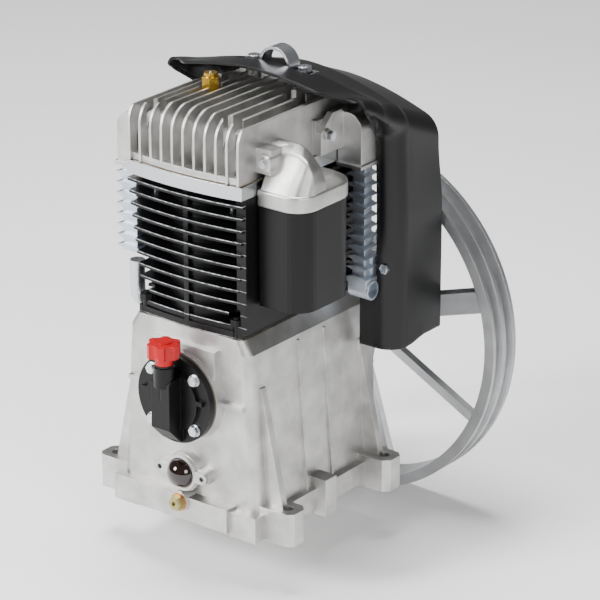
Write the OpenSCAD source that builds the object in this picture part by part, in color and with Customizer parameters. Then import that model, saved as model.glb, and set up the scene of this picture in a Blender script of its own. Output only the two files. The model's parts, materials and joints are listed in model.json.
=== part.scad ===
// Belt-driven two-stage piston compressor pump with two cylinders in line.
// X runs to the right, Y runs back towards the flywheel and Z runs up. The origin is the
// middle of the foot bolt pattern, on the plane that the feet stand on.
// The pump is drawn with its low pressure piston at the top of its stroke and its high
// pressure piston at the bottom.

/* [Crank drive] */
// Height of the crankshaft axis over the base
axis_z = 144; // [138:1:175]
// Piston stroke
stroke = 70; // [56:1:72]
// Connecting rod length, eye to eye
rod_len = 155; // [150:1:190]
// Bore of the low pressure cylinder
low_bore = 95; // [70:1:98]
// Bore of the high pressure cylinder
high_bore = 55; // [46:1:62]
// Distance between the two cylinder axes
bore_pitch = 96; // [94:1:120]
// Low pressure cylinder axis, in front of the origin
low_front = 44; // [40:1:52]

/* [Crankcase] */
// Width of the crankcase at its foot
case_w_base = 188; // [176:1:240]
// Width of the crankcase under its deck
case_w_top = 160; // [150:1:190]
// Front face, in front of the origin
case_front = 104; // [104:1:130]
// Rear face, behind the origin
case_back = 113; // [112:1:145]
// Deck height over the crankshaft axis
deck_rise = 73; // [72:1:95]
// Wall thickness of the crankcase casting
case_wall = 8; // [6:0.5:12]
// Foot bolt spacing across
foot_pitch_x = 232; // [220:1:290]
// Foot bolt spacing front to back
foot_pitch_y = 168; // [140:1:190]
// Foot bolt hole diameter
foot_hole_d = 11; // [9:0.5:14]
// Height of the feet
foot_h = 37; // [25:1:45]

/* [Cylinder block and head] */
// Width of the block over its top fins
block_w = 150; // [142:1:170]
// Front of the block's top fins, in front of the origin
block_front = 112; // [110:1:130]
// Back of the block, behind the origin
block_back = 100; // [98:1:130]
// Number of cooling fins on the block
block_fins = 10; // [6:1:12]
// Thickness of the valve plate
plate_t = 14; // [10:1:18]
// Height of the cylinder head over the valve plate
head_h = 66; // [50:1:80]
// Number of cooling fins on the head
head_fins = 11; // [7:1:13]

/* [Flywheel and cowl] */
// Outside diameter of the flywheel
wheel_d = 400; // [340:1:480]
// Width of the flywheel rim
wheel_w = 42; // [38:1:60]
// Front face of the flywheel, behind the origin
wheel_front = 164; // [164:1:190]
// Number of fan blade spokes
spokes = 8; // [5:1:10]
// Width of the cowl
cowl_w = 260; // [250:1:300]
// Wall thickness of the cowl
cowl_wall = 3; // [2:0.5:4]

/* [Fits] */
// Radial clearance of shafts and pins that turn
run_gap = 0.03; // [0.01:0.01:0.1]
// Radial clearance between piston and bore
piston_gap = 0.08; // [0.03:0.01:0.1]
// Clearance between faces that pass each other
face_gap = 0.3; // [0.3:0.1:1]
// Thickness of the paper gaskets
gasket_t = 0.6; // [0.3:0.1:1.5]

/* [Hidden] */
$fn = 48;
eps = 0.5;

// colours of the finishes
CAST = [0.78, 0.79, 0.80];
BLACK = [0.07, 0.07, 0.08];
STEEL = [0.62, 0.63, 0.65];
ZINC = [0.80, 0.81, 0.83];
BRASS = [0.80, 0.62, 0.25];
YELLOW_ZINC = [0.78, 0.70, 0.38];
RED = [0.80, 0.05, 0.05];
PAPER = [0.70, 0.62, 0.45];
RUBBER = [0.10, 0.10, 0.10];
IRON = [0.45, 0.45, 0.47];

// crank drive
throw_r = stroke / 2;
low_y = -low_front;
high_y = low_y + bore_pitch;
crown_h = 35;
tdc_z = axis_z + rod_len + throw_r;
bdc_z = tdc_z - stroke;
swing = asin(throw_r / rod_len);
pin_r = 20;
web_t = 12;
low_pin_w = 23;
high_pin_w = 20;
web_r = throw_r + 27;
front_journal_r = 17.5;
rear_journal_r = 20;
nose_r = 19;
low_wp_r = 10;
high_wp_r = 8;
low_pin_y0 = low_y - low_pin_w / 2;
low_pin_y1 = low_y + low_pin_w / 2;
high_pin_y0 = high_y - high_pin_w / 2;
high_pin_y1 = high_y + high_pin_w / 2;
nose_end = wheel_front + wheel_w - 12;

// flywheel
hub_r = 36;
rim_in = wheel_d / 2 - 12;
blade_w = 40;
first_blade = 17;

// crankcase
deck_z = axis_z + deck_rise;
shoulder_z = deck_z - 16;
deck_w = case_w_top - 20;
ring_r = 50;
ring_front = case_front + 14;
rear_hole_r = web_r + 2;
carrier_r = rear_hole_r + 8;
bar_front = ring_front;
drain_z = 25;
glass_z = 57;
glass_r = 18.5;
glass_ear = 28;
cover_bolt = 28;
cover_y = -ring_front - gasket_t;
cover_r = 48;

// bearings: single row deep groove balls
front_brg_r = 36;
front_brg_w = 17;
front_brg_y = -ring_front + 5;
rear_brg_r = 40;
rear_brg_w = 18;
rear_brg_y = case_back - 17;
front_pitch_r = 26.75;
front_ball_r = 5.5;
rear_pitch_r = 30;
rear_ball_r = 6;
carrier_y = case_back + 4 + gasket_t;

// stack of the block, valve plate and head
block_z = deck_z + gasket_t;
block_top = max(tdc_z + crown_h + 1, block_z + 90);
plate_z = block_top + gasket_t;
head_z = plate_z + plate_t + gasket_t;
head_top = head_z + head_h;
front_bulge = 420;
fin_t = 3.2;
flange_h = 14;
fin_step = (block_top - block_z - flange_h) / (block_fins + 0.4);
block_taper = 11;
head_w = block_w - 6;
head_back = block_back;
fin_end = 48;
big_end_x = throw_r + pin_r + 11.5;
big_end_top = tdc_z - rod_len * cos(swing) + pin_r + 9;
relief_top = block_z + 39;
port_ring = 24;
safety_x = -33;
safety_y = -20;
relief_r = (tdc_z - block_z) * tan(swing) + 11;
stud_x = 60;
stud_y = [-block_front + 16, (low_y + high_y) / 2 + 2, block_back - 9];
head_bolt_x = 50;
head_bolt_y = [-block_front + 24, low_y + low_bore / 2 + 12, block_back - 8];

// coolers and filter
side_x = block_w / 2 + 1;
filter_x = block_w / 2 + 2;
filter_r = 24;
filter_w = 55;
filter_y0 = -82;
filter_y1 = 8;
filter_z0 = plate_z - 118;
filter_z1 = plate_z - 10;
cap_top = filter_z1 + 66;
cap_band = 17;
cooler_x0 = 84;
cooler_x1 = 109;
cooler_y0 = 57;
cooler_y1 = 78;
cooler_z0 = plate_z - 130;
cooler_z1 = plate_z - 4;
cooler_fins = 11;
outlet_z = cooler_z0 - 11;
inter_y0 = -84;
inter_y1 = -50;
cooler_mid_x = (cooler_x0 + cooler_x1) / 2;
cooler_mid_y = (cooler_y0 + cooler_y1) / 2;
inter_mid_y = (inter_y0 + inter_y1) / 2;
header_top = head_top - 26;
left_bolts = [-24, 14];
cowl_bolt_x = 118;
cowl_bolt_z = cooler_z0 + 12;

// cowl
cowl_back = wheel_front - 4;
cowl_face = 80;
cowl_z0 = axis_z + 17;
cowl_top = head_top + 15;
roof_drop = 7;
strap_x = 33;
strap_y = 52;
strap_z = cowl_top - roof_drop * (strap_y - 3) / (cowl_face - 3) - 6;

// oil filler
filler_y = -(ring_front + 23.5);
filler_z = axis_z + 42;
thread_lift = 8;

// --- helpers ------------------------------------------------------------------------

// a round bar along Y from y0 to y1
module y_bar(r, y0, y1, x = 0, z = axis_z) {
    translate([x, y0, z]) rotate([-90, 0, 0]) cylinder(r = r, h = y1 - y0);
}

// a round bar along X from x0 to x1
module x_bar(r, x0, x1, y = 0, z = 0) {
    translate([x0, y, z]) rotate([0, 90, 0]) cylinder(r = r, h = x1 - x0);
}

// a block between two corners
module block(a, b) {
    translate(a) cube(b - a);
}

// an outline in X and Z carried along Y from y0 to y1
module along_y(y0, y1) {
    translate([0, y1, 0]) rotate([90, 0, 0]) linear_extrude(y1 - y0) children();
}

// an outline in Y and Z carried along X from x0 to x1
module along_x(x0, x1) {
    translate([x0, 0, 0]) rotate([90, 0, 90]) linear_extrude(x1 - x0) children();
}

// a thin slab with rounded corners, the layers of a hull
module slab(w, y0, y1, r, z) {
    for (sx = [-1, 1], y = [y0 + r, y1 - r])
        translate([sx * (w / 2 - r), y, z]) cylinder(r = r, h = 0.5, $fn = 32);
}

// hexagon head screw standing on its origin with the shank going down
module hex_screw(af, head, d, shank) {
    cylinder(r = af / sqrt(3), h = head, $fn = 6);
    translate([0, 0, head - 0.01]) cylinder(r = af * 0.42, h = 0.6);
    translate([0, 0, -shank]) cylinder(r = d / 2, h = shank + eps);
}

// the same screw with its head towards -Y
module hex_screw_front(af, head, d, shank) {
    rotate([90, 0, 0]) hex_screw(af, head, d, shank);
}

// a ring along Y
module y_ring(ro, ri, y0, y1, x = 0, z = axis_z) {
    difference() {
        y_bar(ro, y0, y1, x, z);
        y_bar(ri, y0 - 1, y1 + 1, x, z);
    }
}

// --- crankcase ----------------------------------------------------------------------

// outside of the casting: wider at the foot, with a sloping shoulder under the deck
module case_outside() {
    hull() {
        slab(case_w_base, -case_front, case_back, 14, 0);
        slab(case_w_top, -case_front, case_back, 12, shoulder_z);
        slab(deck_w, -case_front + 1, case_back - 4, 10, deck_z - 0.5);
    }
}

module case_inside() {
    hull() {
        slab(case_w_base - 2 * case_wall, -case_front + case_wall, case_back - case_wall,
            9, case_wall);
        slab(case_w_top - 2 * case_wall, -case_front + case_wall, case_back - case_wall,
            7, shoulder_z - case_wall);
    }
}

// a foot with its bolt hole left to be drilled, and the gusset that stiffens it
module foot(sx, sy) {
    px = foot_pitch_x / 2;
    py = foot_pitch_y / 2;
    half = 14.5;
    inner = case_w_base / 2 - 12;
    mirror([sx < 0 ? 1 : 0, 0, 0]) mirror([0, sy < 0 ? 1 : 0, 0]) {
        linear_extrude(foot_h) polygon([[inner, py - half], [px + half - 7, py - half],
            [px + half, py - half + 7], [px + half, py + half - 6],
            [px + half - 6, py + half], [inner, py + half]]);
        along_y(py - 4, py + 4) polygon([[case_w_top / 2 - 6, axis_z + 20],
            [case_w_top / 2 + 4, axis_z + 20], [px - 4, foot_h - 1],
            [case_w_top / 2 - 6, foot_h - 1]]);
    }
}

module crankcase() color(CAST) difference() {
    union() {
        case_outside();
        for (sx = [-1, 1], sy = [-1, 1]) foot(sx, sy);
        // rails along the foot of each side, with a locating block
        for (sx = [0, 1]) mirror([sx, 0, 0]) {
            block([case_w_base / 2 - 12, -foot_pitch_y / 2, 5],
                [case_w_base / 2 + 6, foot_pitch_y / 2, 29]);
            block([case_w_base / 2 - 12, -16, 0], [case_w_base / 2 + 19, 3, 42]);
            // stiffening ribs up each side
            for (y = [-22, 22]) along_y(y - 1.6, y + 1.6)
                polygon([[case_w_top / 2 - 6, shoulder_z - 2],
                    [case_w_top / 2 + 2, shoulder_z - 5],
                    [case_w_base / 2 + 0.5, 28], [case_w_base / 2 - 12, 28]]);
            // thick corners of the base
            block([61, -bar_front + 5, 0], [case_w_base / 2 + 1, -case_front + 10, 28]);
            block([61, case_back - 10, 0], [case_w_base / 2 + 1, case_back + 4, 28]);
            // web from the bearing ring to the corner
            block([ring_r - 8, -case_front - 5, axis_z - 2.5],
                [case_w_top / 2 - 4, -case_front + 2, axis_z + 2.5]);
        }
        // front rail, drain boss and bearing ring
        block([-61, -bar_front, 4], [61, -case_front + 2, 31]);
        y_bar(11.5, -bar_front - 3, -case_front + 2, 0, drain_z);
        y_bar(ring_r, -ring_front, -case_front + 2);
        block([-42, -case_front - 8, axis_z], [42, -case_front + 2, shoulder_z]);
        // inner bearing housing
        y_bar(front_brg_r + 8, -case_front - 4, front_brg_y + front_brg_w + 2);
        // sight glass boss
        y_bar(glass_r + 3, -case_front - 10, -case_front + 2, 0, glass_z);
        block([-glass_ear, -case_front - 10, glass_z - 8],
            [glass_ear, -case_front + 2, glass_z + 8]);
        for (sx = [-1, 1])
            y_bar(8, -case_front - 10, -case_front + 2, sx * glass_ear, glass_z);
        // raised ring around the rear opening
        y_bar(carrier_r, case_back - 4, case_back + 4);
    }
    case_inside();
    // deck opening under the cylinders
    block([-46, low_y - low_bore / 2, shoulder_z - case_wall - 4],
        [46, high_y + 34, deck_z + 1]);
    // pockets in the deck's underside where the big ends swing
    for (p = [[low_y, low_pin_w], [high_y, high_pin_w]])
        block([-big_end_x, p[0] - p[1] / 2 - 1.5, shoulder_z - case_wall - 4],
            [big_end_x, p[0] + p[1] / 2 + 1.5, big_end_top]);
    // front bearing seat with a shoulder behind it
    y_bar(front_brg_r, -ring_front - 1, front_brg_y + front_brg_w);
    y_bar(front_brg_r - 5, front_brg_y, front_brg_y + front_brg_w + 12);
    // rear opening, wide enough for the crank webs
    y_bar(rear_hole_r, case_back - 19, case_back + 5);
    for (k = [0:7]) rotate_about_crank(k * 45 + 22.5)
        y_bar(3, case_back - 7, case_back + 5, carrier_r - 4);
    // tapped holes of the front cover
    for (sx = [-1, 1], sz = [-1, 1])
        y_bar(3, -ring_front - 1, -case_front + 6, sx * cover_bolt, axis_z + sz * cover_bolt);
    // oil drain and sight glass
    y_bar(7, -bar_front - 4, -case_front + case_wall + 4, 0, drain_z);
    y_bar(12, -case_front - 11, -case_front + case_wall + 4, 0, glass_z);
    for (sx = [-1, 1])
        y_bar(2.5, -case_front - 11, -case_front - 1, sx * glass_ear, glass_z);
    // foot bolt holes
    for (sx = [-1, 1], sy = [-1, 1])
        translate([sx * foot_pitch_x / 2, sy * foot_pitch_y / 2, -1])
            cylinder(r = foot_hole_d / 2, h = foot_h + 2);
    // blind holes of the block studs
    for (sx = [-1, 1], y = stud_y)
        translate([sx * stud_x, y, deck_z - 14]) cylinder(r = 4, h = 15);
}

module rotate_about_crank(a) {
    translate([0, 0, axis_z]) rotate([0, a, 0]) translate([0, 0, -axis_z]) children();
}

// --- bearings and rear carrier ------------------------------------------------------

// outer ring and balls of a ball bearing; the inner ring is its own piece
module outer_race(ro, y, w, balls, pitch_r, ball_r) {
    translate([0, y + w / 2, axis_z]) rotate([-90, 0, 0]) rotate_extrude() difference() {
        translate([pitch_r + ball_r * 0.6, -w / 2]) square([ro - pitch_r - ball_r * 0.6, w]);
        translate([pitch_r, 0]) circle(r = ball_r + 0.1);
    }
    for (k = [0:balls - 1]) rotate_about_crank(k * 360 / balls)
        translate([pitch_r, y + w / 2, axis_z]) sphere(r = ball_r);
}

module inner_race(ri, y, w, pitch_r, ball_r) {
    y_ring(pitch_r - ball_r - face_gap, ri, y, y + w);
}

module front_bearing() color(STEEL)
    outer_race(front_brg_r, front_brg_y, front_brg_w, 9, front_pitch_r, front_ball_r);

module rear_bearing() color(STEEL)
    outer_race(rear_brg_r, rear_brg_y, rear_brg_w, 9, rear_pitch_r, rear_ball_r);

module front_inner_race() color(STEEL)
    inner_race(front_journal_r, front_brg_y, front_brg_w, front_pitch_r, front_ball_r);

module rear_inner_race() color(STEEL)
    inner_race(rear_journal_r, rear_brg_y, rear_brg_w, rear_pitch_r, rear_ball_r);

module rear_carrier() color(CAST) difference() {
    union() {
        y_bar(carrier_r, carrier_y, carrier_y + 9);
        y_bar(rear_hole_r - 0.2, case_back - 18, carrier_y + 1);
        y_bar(rear_brg_r + 2, carrier_y + 8, carrier_y + 13);
    }
    y_bar(rear_brg_r, case_back - 19, rear_brg_y + rear_brg_w);
    y_bar(26, case_back - 19, carrier_y + 14);
    y_bar(31, carrier_y + 4, carrier_y + 14);
    y_bar(rear_hole_r - 8, case_back - 19, case_back - 14);
    for (k = [0:7]) rotate_about_crank(k * 45 + 22.5)
        y_bar(3.3, carrier_y - 1, carrier_y + 10, carrier_r - 4);
}

module rear_carrier_gasket() color(PAPER) difference() {
    y_bar(carrier_r, case_back + 4, carrier_y);
    y_bar(rear_hole_r, case_back + 3, carrier_y + 1);
    for (k = [0:7]) rotate_about_crank(k * 45 + 22.5)
        y_bar(3.3, case_back + 3, carrier_y + 1, carrier_r - 4);
}

module rear_carrier_bolts() color(ZINC)
    for (k = [0:7]) rotate_about_crank(k * 45 + 22.5)
        translate([carrier_r - 4, carrier_y + 9, axis_z]) rotate([-90, 0, 0])
            hex_screw(8, 4, 5.8, 18);

module rear_shaft_seal() color(RUBBER)
    y_ring(31, rear_journal_r + run_gap, carrier_y + 4.1, carrier_y + 12);

// --- front cover, filler, glass and drain -------------------------------------------

module front_cover() color(BLACK) difference() {
    union() {
        y_bar(cover_r, cover_y - 8, cover_y);
        y_bar(33, cover_y - 12, cover_y - 4);
        // oil duct that rises to the filler neck
        along_x(-12, 12) polygon([[cover_y - 4, axis_z - 44], [cover_y - 12, axis_z - 44],
            [cover_y - 30, axis_z - 26], [cover_y - 30, axis_z + 24],
            [cover_y - 26, axis_z + 28], [cover_y - 4, axis_z + 28]]);
        translate([0, filler_y, axis_z + 20]) cylinder(r = 11, h = 22);
        // ribs across the cover
        for (sx = [-1, 1]) block([sx > 0 ? 8 : -40, cover_y - 12, axis_z + 2],
            [sx > 0 ? 40 : -8, cover_y - 4, axis_z + 7]);
    }
    y_bar(27, cover_y - 6, cover_y + 1);
    translate([0, filler_y, axis_z + 6]) cylinder(r = 7, h = 40);
    y_bar(6, filler_y, cover_y - 3, 0, axis_z + 10);
    for (sx = [-1, 1], sz = [-1, 1])
        y_bar(3.3, cover_y - 13, cover_y + 1, sx * cover_bolt, axis_z + sz * cover_bolt);
}

module front_cover_gasket() color(PAPER) difference() {
    y_bar(cover_r, cover_y, -ring_front);
    y_bar(front_brg_r, cover_y - 1, -ring_front + 1);
    for (sx = [-1, 1], sz = [-1, 1])
        y_bar(3.3, cover_y - 1, -ring_front + 1, sx * cover_bolt, axis_z + sz * cover_bolt);
}

module front_cover_bolts() color(ZINC)
    for (sx = [-1, 1], sz = [-1, 1])
        translate([sx * cover_bolt, cover_y - 8, axis_z + sz * cover_bolt]) {
            hex_screw_front(10, 5, 5.8, 22);
            rotate([90, 0, 0]) cylinder(r = 6.5, h = 0.8);
        }

// ring under the knob that rises with it
module oil_filler_seal() color(RUBBER) translate([0, filler_y, filler_z + face_gap])
    ring_shape(9.5, 7.1, 1.6);

// knob, stem and threaded spigot in one moulding
module oil_filler() color(RED) translate([0, filler_y, filler_z]) {
    translate([0, 0, 2 * face_gap + 1.6]) cylinder(r = 9, h = 9);
    translate([0, 0, 11]) difference() {
        cylinder(r = 17.5, h = 15);
        for (k = [0:5]) rotate(k * 60 + 30) translate([22, 0, -1]) cylinder(r = 8, h = 17);
    }
    translate([0, 0, 9]) cylinder(r = 12, h = 3);
    translate([0, 0, 25]) cylinder(r = 8, h = 2.5);
    translate([0, 0, -thread_lift - 6]) cylinder(r = 7 - run_gap, h = thread_lift + 10);
}

module sight_glass_flange() color(CAST) difference() {
    union() {
        y_bar(glass_r + 1.5, -case_front - 14, -case_front - 10, 0, glass_z);
        block([-glass_ear, -case_front - 14, glass_z - 6.5],
            [glass_ear, -case_front - 10, glass_z + 6.5]);
        for (sx = [-1, 1])
            y_bar(6.5, -case_front - 14, -case_front - 10, sx * glass_ear, glass_z);
    }
    y_bar(16.5, -case_front - 15, -case_front - 9, 0, glass_z);
    for (sx = [-1, 1])
        y_bar(2.75, -case_front - 15, -case_front - 9, sx * glass_ear, glass_z);
}

module sight_glass() color([0.25, 0.16, 0.08]) {
    intersection() {
        translate([0, -case_front - 10, glass_z]) sphere(r = 16.5);
        y_bar(17, -case_front - 30, -case_front - 10, 0, glass_z);
    }
    y_bar(11.8, -case_front - 10.01, -case_front - 4, 0, glass_z);
}

module drain_plug() color(YELLOW_ZINC) translate([0, -bar_front - 4.5, drain_z])
    difference() {
        union() {
            hex_screw_front(14, 6, 13.9, 14);
            rotate([90, 0, 0]) cylinder(r = 9, h = 1.2);
        }
        translate([0, -10, 0]) rotate([-90, 0, 0]) cylinder(r = 3, h = 6);
    }

module drain_washer() color([0.72, 0.45, 0.30])
    y_ring(10, 7, -bar_front - 4.5, -bar_front - 3, 0, drain_z);

// --- cylinder block -----------------------------------------------------------------

// plan of the block: square sides and a bulging front, wider for the upper fins
module block_plan(w, front) {
    intersection() {
        translate([-w / 2, -front]) square([w, front + block_back]);
        translate([0, front_bulge - front]) circle(r = front_bulge, $fn = 96);
    }
}

module cylinder_block() color(BLACK) difference() {
    union() {
        // walls round the two cylinders
        translate([0, low_y, block_z]) cylinder(r = low_bore / 2 + 8, h = block_top - block_z);
        translate([0, high_y, relief_top])
            cylinder(r = high_bore / 2 + 9, h = block_top - relief_top);
        block([-relief_r - 7, low_y, block_z], [relief_r + 7, block_back - 2, relief_top + 8]);
        block([-36, low_y, relief_top], [36, high_y + 34, block_top]);
        // foot flange in three steps
        translate([0, 0, block_z]) linear_extrude(7) block_plan(block_w - 14, block_front - 8);
        translate([0, 0, block_z + 6]) linear_extrude(4)
            block_plan(block_w - 18, block_front - 11);
        translate([0, 0, block_z + 9]) linear_extrude(5)
            block_plan(block_w - 15, block_front - 9);
        // fins, each a little wider than the one below it
        for (k = [0:block_fins - 1]) {
            t = k / (block_fins - 1);
            translate([0, 0, block_z + flange_h + fin_step * (k + 1) - fin_t])
                linear_extrude(fin_t) block_plan(block_w - 2 * block_taper * (1 - t),
                    block_front - 8 * (1 - t));
        }
        // middle rib on the front, side wall for the filter, pads for the studs
        block([-3, -block_front + 8, block_z + 7], [3, low_y, block_top]);
        block([-block_w / 2 + 11, -block_front + 30, block_z + 7], [-block_w / 2 + 14,
            block_back, block_top]);
        block([block_w / 2 - 1, -62, filter_z0 + 30], [filter_x, -14, filter_z0 + 60]);
        block([block_w / 2 - 12, -block_front + 12, block_z + 7],
            [block_w / 2, filter_y1, block_top]);
        block([block_w / 2 - 14, filter_y1 - 2, block_z + 7],
            [block_w / 2 - 11, block_back, block_top]);
    }
    translate([0, low_y, block_z - 1]) cylinder(r = low_bore / 2, h = block_top - block_z + 2);
    translate([0, high_y, block_z - 1]) cylinder(r = high_bore / 2, h = block_top - block_z + 2);
    // the high pressure bore is relieved below, where its rod swings
    translate([0, high_y, block_z - 1]) cylinder(r = relief_r, h = relief_top - block_z + 1);
    for (sx = [-1, 1], y = stud_y)
        translate([sx * stud_x, y, block_z - 1]) cylinder(r = 4.3, h = flange_h + 4);
    // room for the stud nuts
    for (sx = [-1, 1], y = stud_y)
        translate([sx * stud_x, y, block_z + flange_h]) cylinder(r = 8.5, h = fin_step * 1.4);
    for (sx = [-1, 1], y = head_bolt_y)
        translate([sx * head_bolt_x, y, block_top - 30]) cylinder(r = 4, h = 31);
}

module block_gasket() color(PAPER) translate([0, 0, deck_z]) difference() {
    linear_extrude(gasket_t) block_plan(block_w - 14, block_front - 8);
    block([-46, low_y - low_bore / 2, -1], [46, high_y + 34, 2]);
    for (sx = [-1, 1], y = stud_y) translate([sx * stud_x, y, -1]) cylinder(r = 4.3, h = 3);
}

module block_nuts() color(BLACK)
    for (sx = [-1, 1], y = stud_y) translate([sx * stud_x, y, block_z + flange_h]) {
        difference() {
            cylinder(r = 13 / sqrt(3), h = 6.5, $fn = 6);
            translate([0, 0, -1]) cylinder(r = 3.9, h = 9);
        }
        translate([0, 0, -flange_h - gasket_t - 12]) cylinder(r = 3.9, h = flange_h + 21);
    }

// --- valve plate and reeds ----------------------------------------------------------

module plate_ports(z0, h) {
    for (a = [40:50:330]) translate([port_ring * cos(a), low_y + port_ring * sin(a), z0])
        cylinder(r = 5, h = h);
    for (a = [0:90:270]) translate([13 * cos(a), high_y + 13 * sin(a), z0])
        cylinder(r = 3.5, h = h);
}

module valve_plate() color([0.62, 0.65, 0.70]) difference() {
    translate([0, 0, plate_z]) linear_extrude(plate_t) block_plan(block_w, block_front + 1);
    plate_ports(plate_z - 1, plate_t + 2);
    // recess over each bore that the suction reeds lie in
    translate([0, low_y, plate_z - 1]) cylinder(r = 33, h = 2.2);
    translate([0, high_y, plate_z - 1]) cylinder(r = 20, h = 2.2);
    // recess that the delivery reeds lie in
    translate([0, low_y, plate_z + plate_t - 1.2]) cylinder(r = 33, h = 2.2);
    translate([0, high_y, plate_z + plate_t - 1.2]) cylinder(r = 20, h = 2.2);
    for (sx = [-1, 1], y = head_bolt_y)
        translate([sx * head_bolt_x, y, plate_z - 1]) cylinder(r = 4.3, h = plate_t + 2);
}

module gasket_sheet(z) {
    translate([0, 0, z]) difference() {
        linear_extrude(gasket_t) block_plan(block_w - 4, block_front - 2);
        translate([0, low_y, -1]) cylinder(r = low_bore / 2 + 0.5, h = 3);
        translate([0, high_y, -1]) cylinder(r = high_bore / 2 + 0.5, h = 3);
        for (sx = [-1, 1], y = head_bolt_y)
            translate([sx * head_bolt_x, y, -1]) cylinder(r = 4.3, h = 3);
    }
}

module plate_gasket() color(PAPER) gasket_sheet(block_top);
module head_gasket() color(PAPER) gasket_sheet(plate_z + plate_t);

// spring steel discs with tongues over the ports
module reeds(z) {
    for (c = [[low_y, 32], [high_y, 19]]) translate([0, c[0], z]) difference() {
        cylinder(r = c[1], h = 0.5);
        for (a = [0, 120, 240]) rotate(a) translate([c[1] * 0.3, -0.5, -1])
            cube([c[1] * 0.55, 1, 3]);
    }
}

// suction reeds under the plate and delivery reeds on top of it
module valve_reeds() color(STEEL) for (z = [plate_z + 0.6, plate_z + plate_t - 1.2]) reeds(z);

// --- cylinder head ------------------------------------------------------------------

// side outline of the head and its fins: it rises straight in front, bends over to a
// level top and drops again with a round end
module head_profile(z_top, y_front, y_end) {
    r = 26;
    intersection() {
        translate([y_front, head_z]) square([y_end - y_front, z_top - head_z]);
        union() {
            for (y = [y_front + r, y_end - r]) translate([y, z_top - r]) circle(r = r);
            translate([y_front, 0]) square([y_end - y_front, z_top - r]);
            translate([y_front + r, 0]) square([y_end - y_front - 2 * r, z_top]);
        }
    }
}

module cylinder_head() color(CAST) difference() {
    union() {
        translate([0, 0, head_z]) linear_extrude(7) block_plan(head_w, block_front - 3);
        // body that holds the valve chambers
        along_x(-head_w / 2 + 4, head_w / 2 - 4)
            head_profile(head_top - 20, -block_front + 17, head_back);
        // fins from front to back; the tops follow a shallow crown
        intersection() {
            for (k = [0:head_fins - 1]) {
                x = -head_w / 2 + k * (head_w - 3) / (head_fins - 1);
                along_x(x, x + 3) head_profile(head_top, -block_front + 5, fin_end);
                along_x(x, x + 3) head_profile(head_top - 14, -block_front + 5, head_back);
            }
            y_bar(300, -200, 200, 0, head_top - 300);
        }
        // smooth right wall of the head
        along_x(head_w / 2 - 3, head_w / 2) head_profile(head_top - 9, -block_front + 5, fin_end);
        // pillars that the cowl and the lifting strap are bolted to
        for (sx = [-1, 1]) translate([sx * strap_x, strap_y, head_top - 25])
            cylinder(r = 9, h = strap_z - cowl_wall - face_gap - head_top + 25);
        // boss of the safety valve
        translate([safety_x, safety_y, head_top - 30]) cylinder(r = 12, h = 18);
        // lug of the filter cap
        block([head_w / 2 - 2, -78, head_z + 8], [side_x + 14, -60, head_z + 34]);
        // duct from the filter cap
        x_bar(16, head_w / 2 - 4, filter_x - 1.5, -44, head_z + 18);
        // port pads on both sides
        block([head_w / 2 - 6, 14, head_z + 2], [side_x, 86, head_z + 38]);
        block([-side_x, -84, head_z + 2], [-head_w / 2 + 6, 86, head_z + 38]);
    }
    // low pressure and high pressure chambers
    block([-44, low_y - 34, head_z - 1], [44, low_y + 34, head_z + 30]);
    block([-40, high_y - 22, head_z - 1], [40, high_y + 30, head_z + 30]);
    // ports to the coolers and the filter
    x_bar(10, 30, side_x + 1, 66, head_z + 18);
    x_bar(10, -side_x - 1, -30, 66, head_z + 18);
    x_bar(10, -side_x - 1, -30, -66, head_z + 18);
    x_bar(12, 30, side_x + 16, -44, head_z + 18);
    // recesses over the head bolts
    for (sx = [-1, 1], y = head_bolt_y) {
        translate([sx * head_bolt_x, y, head_z - 1]) cylinder(r = 4.3, h = head_h + 2);
        translate([sx * head_bolt_x, y, head_z + 30]) cylinder(r = 10, h = head_h);
    }
    // seat and clearance of the safety valve
    translate([safety_x, safety_y, head_top - 32]) cylinder(r = 6, h = 40);
    translate([safety_x, safety_y, head_top - 12]) cylinder(r = 12, h = 40);
    for (sx = [-1, 1]) translate([sx * strap_x, strap_y, head_top - 20])
        cylinder(r = 4, h = 30);
    y_bar(2.6, -79, -62, side_x + 8, head_z + 21);
    x_bar(3.1, head_w / 2 - 7, side_x + 1, 23, head_z + 23);
    for (y = left_bolts) x_bar(3.1, -side_x - 1, -head_w / 2 + 7, y, head_z + 20);
}

module head_bolts() color(ZINC)
    for (sx = [-1, 1], y = head_bolt_y) translate([sx * head_bolt_x, y, head_z + 30])
        difference() {
            union() {
                cylinder(r = 6.5, h = 8);
                translate([0, 0, -30 - plate_t - 2 * gasket_t - 20])
                    cylinder(r = 3.9, h = 31 + plate_t + 2 * gasket_t + 20);
            }
            translate([0, 0, 4]) cylinder(r = 6 / sqrt(3), h = 5, $fn = 6);
        }

// brass relief valve with a hexagon body
module safety_valve() color(BRASS) translate([safety_x, safety_y, head_top - 12])
    difference() {
        union() {
            translate([0, 0, -18]) cylinder(r = 6 - 0.02, h = 19);
            cylinder(r = 17 / sqrt(3), h = 20, $fn = 6);
            translate([0, 0, 19]) cylinder(r = 7, h = 5);
        }
        translate([0, 0, -19]) cylinder(r = 2.5, h = 8);
        translate([0, 0, -8]) cylinder(r = 4.5, h = 28);
        translate([0, 0, 17]) cylinder(r = 2.2, h = 8);
    }

module safety_stem() color(STEEL) translate([safety_x, safety_y, head_top - 12]) {
    translate([0, 0, -7.9]) cylinder(r = 4.5 - run_gap * 2, h = 4);
    translate([0, 0, -4]) cylinder(r = 2 - run_gap, h = 29);
}

module safety_spring() color(STEEL) translate([safety_x, safety_y, head_top - 12])
    for (k = [0:5]) translate([0, 0, -2.4 + k * 3.6]) rotate_extrude()
        translate([3.3, 0]) circle(r = 0.5, $fn = 16);

// --- intake filter ------------------------------------------------------------------

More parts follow.
